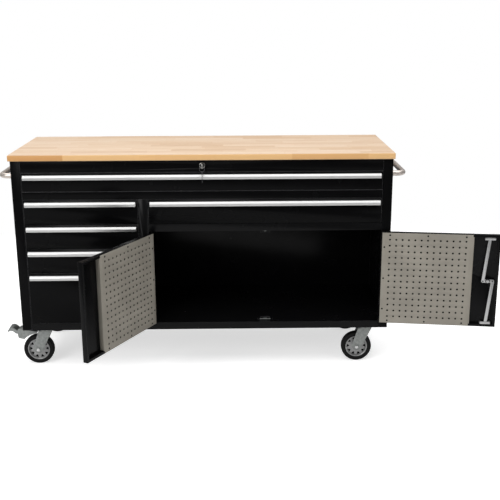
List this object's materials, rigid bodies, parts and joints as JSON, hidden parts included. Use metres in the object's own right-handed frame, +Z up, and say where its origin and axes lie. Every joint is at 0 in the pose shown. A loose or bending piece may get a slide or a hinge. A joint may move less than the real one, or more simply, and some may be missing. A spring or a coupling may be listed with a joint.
{
  "type": "rolling tool workbench",
  "caption": "Steel rolling workbench with a butcher-block top, full-width and side drawers, a two-door cupboard with pegboard linings, push handles and swivel casters.",
  "frame": {"origin": "on the floor, under the middle of the bounding box with both doors open as stored", "axes": "+X to the right along the worktop, +Y to the back, +Z up"},
  "size_m": [2.0118, 0.9372, 0.9],
  "materials": {
    "wood": "oiled butcher block",
    "black_paint": "semi-gloss powder coat",
    "grey_paint": "satin powder coat",
    "aluminium": "satin anodised",
    "stainless": "satin",
    "zinc_steel": "bright zinc plate",
    "wheel_metal": "satin silver",
    "nickel": "polished nickel",
    "rubber": "matt"
  },
  "bodies": {
    "cabinet": {"back_panel": "black_paint", "base_panel": "black_paint", "centre_partition": "black_paint", "cupboard_ceiling": "black_paint", "door_keeper_lower": "zinc_steel", "door_keeper_upper": "zinc_steel", "drawer_divider": "black_paint", "drawer_lock": "nickel", "front_header": "black_paint", "front_left_caster_plate": "zinc_steel", "front_right_caster_plate": "zinc_steel", "left_push_handle": "stainless", "left_side_panel": "black_paint", "left_side_slides": "zinc_steel", "partition_left_slides": "zinc_steel", "partition_right_slides": "zinc_steel", "rear_left_caster_plate": "zinc_steel", "rear_right_caster_plate": "zinc_steel", "right_push_handle": "stainless", "right_side_panel": "black_paint", "right_side_slides": "zinc_steel", "worktop": "wood"},
    "top_drawer": {"top_drawer": "black_paint", "top_drawer_pull": "aluminium"},
    "left_drawer_1": {"left_drawer_1": "black_paint", "left_drawer_1_pull": "aluminium"},
    "left_drawer_2": {"left_drawer_2": "black_paint", "left_drawer_2_pull": "aluminium"},
    "left_drawer_3": {"left_drawer_3": "black_paint", "left_drawer_3_pull": "aluminium"},
    "left_drawer_4": {"left_drawer_4": "black_paint", "left_drawer_4_pull": "aluminium"},
    "right_drawer": {"right_drawer": "black_paint", "right_drawer_pull": "aluminium"},
    "left_door": {"left_door": "black_paint", "left_pegboard": "grey_paint"},
    "right_door": {"right_door": "black_paint", "right_pegboard": "grey_paint", "rod_guide_lower": "zinc_steel", "rod_guide_upper": "zinc_steel"},
    "latch": {"latch_cam": "zinc_steel", "latch_turn_handle": "zinc_steel"},
    "upper_rod": {"latch_rod_upper": "zinc_steel"},
    "lower_rod": {"latch_rod_lower": "zinc_steel"},
    "key": {"key": "nickel"},
    "key_ring": {"key_ring": "nickel"},
    "front_left_caster": {"front_left_caster_fork": "zinc_steel"},
    "front_left_wheel": {"front_left_wheel_rim": "wheel_metal", "front_left_wheel_tyre": "rubber"},
    "front_left_brake": {"front_left_brake_pedal": "zinc_steel"},
    "rear_left_caster": {"rear_left_caster_fork": "zinc_steel"},
    "rear_left_wheel": {"rear_left_wheel_rim": "wheel_metal", "rear_left_wheel_tyre": "rubber"},
    "rear_left_brake": {"rear_left_brake_pedal": "zinc_steel"},
    "front_right_caster": {"front_right_caster_fork": "zinc_steel"},
    "front_right_wheel": {"front_right_wheel_rim": "wheel_metal", "front_right_wheel_tyre": "rubber"},
    "rear_right_caster": {"rear_right_caster_fork": "zinc_steel"},
    "rear_right_wheel": {"rear_right_wheel_rim": "wheel_metal", "rear_right_wheel_tyre": "rubber"}
  },
  "joints": [
    {"name": "top_drawer_slide", "type": "slide", "parent": "cabinet", "child": "top_drawer", "axis": [0, -1, 0], "range_m": [0, 0.39]},
    {"name": "left_drawer_1_slide", "type": "slide", "parent": "cabinet", "child": "left_drawer_1", "axis": [0, -1, 0], "range_m": [0, 0.39]},
    {"name": "left_drawer_2_slide", "type": "slide", "parent": "cabinet", "child": "left_drawer_2", "axis": [0, -1, 0], "range_m": [0, 0.065]},
    {"name": "left_drawer_3_slide", "type": "slide", "parent": "cabinet", "child": "left_drawer_3", "axis": [0, -1, 0], "range_m": [0, 0.065]},
    {"name": "left_drawer_4_slide", "type": "slide", "parent": "cabinet", "child": "left_drawer_4", "axis": [0, -1, 0], "range_m": [0, 0.065]},
    {"name": "right_drawer_slide", "type": "slide", "parent": "cabinet", "child": "right_drawer", "axis": [0, -1, 0], "range_m": [0, 0.39]},
    {"name": "left_door_hinge", "type": "hinge", "parent": "cabinet", "child": "left_door", "pos_m": [-0.39592, -0.04287, 0.391], "axis": [0, 0, 1], "range_deg": [-38, 117.3]},
    {"name": "right_door_hinge", "type": "hinge", "parent": "cabinet", "child": "right_door", "pos_m": [0.54408, -0.04287, 0.391], "axis": [0, 0, -1], "range_deg": [-5, 171.9]},
    {"name": "latch_turn", "type": "hinge", "parent": "right_door", "child": "latch", "pos_m": [0.96442, -0.11986, 0.391], "axis": [0.1409, 0.99, 0], "range_deg": [0, 90]},
    {"name": "upper_rod_pin", "type": "hinge", "parent": "latch", "child": "upper_rod", "pos_m": [0.94519, -0.12016, 0.391], "axis": [0.1409, 0.99, 0], "range_deg": [-95.75, 0]},
    {"name": "lower_rod_pin", "type": "hinge", "parent": "latch", "child": "lower_rod", "pos_m": [0.98281, -0.12551, 0.391], "axis": [0.1409, 0.99, 0], "range_deg": [-95.75, 0]},
    {"name": "key_turn", "type": "hinge", "parent": "cabinet", "child": "key", "pos_m": [-0.17492, -0.04937, 0.854], "axis": [0, -1, 0], "range_deg": [0, 90]},
    {"name": "key_ring_swing", "type": "hinge", "parent": "key", "child": "key_ring", "pos_m": [-0.17492, -0.06937, 0.854], "axis": [-1, 0, 0], "range_deg": [-5, 95]},
    {"name": "front_left_swivel", "type": "hinge", "parent": "cabinet", "child": "front_left_caster", "pos_m": [-0.84792, 0.02463, 0.16], "axis": [0, 0, 1], "continuous": true},
    {"name": "front_left_wheel_turn", "type": "hinge", "parent": "front_left_caster", "child": "front_left_wheel", "pos_m": [-0.88292, 0.02463, 0.0635], "axis": [0, 1, 0], "continuous": true},
    {"name": "front_left_brake_press", "type": "hinge", "parent": "front_left_caster", "child": "front_left_brake", "pos_m": [-0.88792, 0.02463, 0.139], "axis": [0, -1, 0], "range_deg": [0, 8]},
    {"name": "rear_left_swivel", "type": "hinge", "parent": "cabinet", "child": "rear_left_caster", "pos_m": [-0.84792, 0.39663, 0.16], "axis": [0, 0, 1], "continuous": true},
    {"name": "rear_left_wheel_turn", "type": "hinge", "parent": "rear_left_caster", "child": "rear_left_wheel", "pos_m": [-0.88292, 0.39663, 0.0635], "axis": [0, 1, 0], "continuous": true},
    {"name": "rear_left_brake_press", "type": "hinge", "parent": "rear_left_caster", "child": "rear_left_brake", "pos_m": [-0.88792, 0.39663, 0.139], "axis": [0, -1, 0], "range_deg": [0, 8]},
    {"name": "front_right_swivel", "type": "hinge", "parent": "cabinet", "child": "front_right_caster", "pos_m": [0.49808, 0.02463, 0.16], "axis": [0, 0, 1], "continuous": true},
    {"name": "front_right_wheel_turn", "type": "hinge", "parent": "front_right_caster", "child": "front_right_wheel", "pos_m": [0.46308, 0.02463, 0.0635], "axis": [0, 1, 0], "continuous": true},
    {"name": "rear_right_swivel", "type": "hinge", "parent": "cabinet", "child": "rear_right_caster", "pos_m": [0.49808, 0.39663, 0.16], "axis": [0, 0, 1], "continuous": true},
    {"name": "rear_right_wheel_turn", "type": "hinge", "parent": "rear_right_caster", "child": "rear_right_wheel", "pos_m": [0.46308, 0.39663, 0.0635], "axis": [0, 1, 0], "continuous": true}
  ],
  "couplings": [
    {"joint": "upper_rod_pin", "follows": "latch_turn", "ratio": -1.0638},
    {"joint": "lower_rod_pin", "follows": "latch_turn", "ratio": -1.0638}
  ]
}
